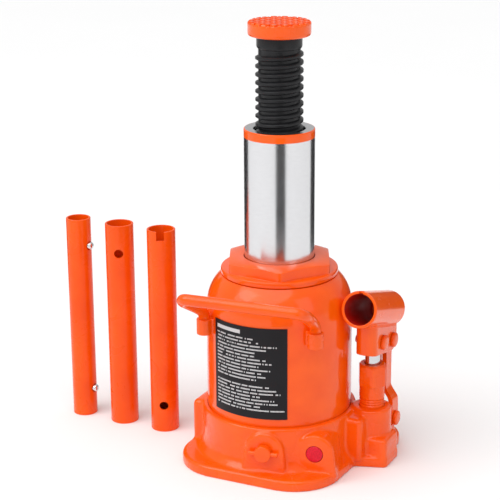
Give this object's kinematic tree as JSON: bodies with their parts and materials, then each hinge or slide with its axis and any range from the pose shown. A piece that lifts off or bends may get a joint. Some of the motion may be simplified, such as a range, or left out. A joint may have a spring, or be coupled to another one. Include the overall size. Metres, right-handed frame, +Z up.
{
  "type": "bottle jack",
  "caption": "Low-profile hydraulic bottle jack, raised: foot plate, oil tank, ram with extension screw and saddle, hand pump with socket, carry handle, and a pump handle in sections.",
  "frame": {"origin": "middle of the ram's axis on the floor, at the underside of the foot plate", "axes": "+Z up along the ram, -Y towards the valves and the carry handle, +X towards the hand pump"},
  "size_m": [0.2711, 0.1531, 0.33],
  "materials": {
    "orange_enamel": "gloss",
    "polished_ram_steel": "polished",
    "bright_steel": "satin",
    "black_phosphate": "matte",
    "bearing_bronze": "satin",
    "seal_rubber": "matte",
    "red_plastic": "gloss",
    "plate_film": "satin"
  },
  "bodies": {
    "jack_body": {"base_casting": "orange_enamel", "reservoir_tank": "orange_enamel", "tank_seal": "seal_rubber", "filler_plug": "seal_rubber", "cylinder_gasket": "bearing_bronze", "pressure_cylinder": "bright_steel", "top_nut": "orange_enamel", "ram_wiper": "seal_rubber", "ram_guide_bush": "bearing_bronze", "pump_sleeve": "orange_enamel", "gland_seal": "seal_rubber", "sleeve_gasket": "bearing_bronze", "suction_ball": "bright_steel", "suction_spring": "bright_steel", "delivery_ball": "bright_steel", "delivery_spring": "bright_steel", "suction_strainer": "bearing_bronze", "release_ball": "bright_steel", "safety_plug": "red_plastic", "safety_ball": "bright_steel", "safety_spring": "bright_steel", "carry_handle": "orange_enamel", "handle_lug_left": "orange_enamel", "handle_lug_right": "orange_enamel", "name_plate": "plate_film"},
    "ram": {"ram": "polished_ram_steel", "ram_piston": "bright_steel", "piston_wear_ring": "bearing_bronze", "piston_seal": "seal_rubber", "piston_nut": "bright_steel"},
    "stop_ring": {"screw_stop_ring": "bright_steel"},
    "screw": {"extension_screw": "black_phosphate", "saddle": "orange_enamel"},
    "release_valve": {"release_valve_stem": "orange_enamel", "release_cross_pin": "orange_enamel", "release_valve_seal": "seal_rubber"},
    "link": {"link_plate_outer": "orange_enamel", "link_plate_inner": "orange_enamel", "link_base_pin": "orange_enamel", "link_base_pin_clip": "bright_steel", "link_top_pin": "orange_enamel", "link_top_pin_clip": "bright_steel"},
    "socket": {"handle_socket": "orange_enamel", "plunger_pin": "orange_enamel", "plunger_pin_clip": "bright_steel"},
    "plunger": {"pump_plunger": "bright_steel", "plunger_seal": "seal_rubber"},
    "end_tube": {"handle_end_tube": "orange_enamel"},
    "middle_tube": {"handle_middle_tube": "orange_enamel"},
    "joint_tube": {"handle_joint_tube": "orange_enamel"},
    "button_upper": {"spring_button_upper": "bright_steel", "button_spring_upper": "bright_steel"},
    "button_lower": {"spring_button_lower": "bright_steel", "button_spring_lower": "bright_steel"}
  },
  "joints": [
    {"name": "ram_lift", "type": "slide", "parent": "jack_body", "child": "ram", "axis": [0, 0, 1], "range_m": [-0.084, 0]},
    {"name": "screw_rise", "type": "slide", "parent": "ram", "child": "stop_ring", "axis": [0, 0, 1], "range_m": [-0.056, 0]},
    {"name": "screw_turn", "type": "hinge", "parent": "stop_ring", "child": "screw", "pos_m": [0, 0, 0.225], "axis": [0, 0, 1], "range_deg": [-3361, 1]},
    {"name": "release_turn", "type": "hinge", "parent": "jack_body", "child": "release_valve", "pos_m": [0.0148, -0.059, 0.024], "axis": [0.2079, -0.9781, 0], "range_deg": [0, 360]},
    {"name": "link_swing", "type": "hinge", "parent": "jack_body", "child": "link", "pos_m": [0.0686, 0.0375, 0.0258], "axis": [1, 0, 0], "range_deg": [-1.6, 4.2]},
    {"name": "socket_tilt", "type": "hinge", "parent": "link", "child": "socket", "pos_m": [0.0686, 0.0375, 0.0888], "axis": [1, 0, 0], "range_deg": [-34, 11.3]},
    {"name": "plunger_stroke", "type": "slide", "parent": "jack_body", "child": "plunger", "axis": [0, 0, 1], "range_m": [-0.0036, 0.01]},
    {"name": "end_tube_lift", "type": "slide", "parent": "jack_body", "child": "end_tube", "axis": [0, 0, 1], "range_m": [0, 0.2]},
    {"name": "middle_tube_lift", "type": "slide", "parent": "jack_body", "child": "middle_tube", "axis": [0, 0, 1], "range_m": [0, 0.2]},
    {"name": "joint_tube_lift", "type": "slide", "parent": "jack_body", "child": "joint_tube", "axis": [0, 0, 1], "range_m": [0, 0.2]},
    {"name": "upper_button_press", "type": "slide", "parent": "joint_tube", "child": "button_upper", "axis": [-1, 0, 0], "range_m": [0, 0.003], "stiffness_N_per_m": 800, "springref_m": -0.002},
    {"name": "lower_button_press", "type": "slide", "parent": "joint_tube", "child": "button_lower", "axis": [-1, 0, 0], "range_m": [0, 0.003], "stiffness_N_per_m": 800, "springref_m": -0.002}
  ],
  "couplings": [
    {"joint": "screw_turn", "follows": "screw_rise", "rad_per_m": 1047.2},
    {"joint": "link_swing", "follows": "socket_tilt", "ratio": -0.115},
    {"joint": "plunger_stroke", "follows": "socket_tilt", "m_per_rad": -0.0162}
  ]
}
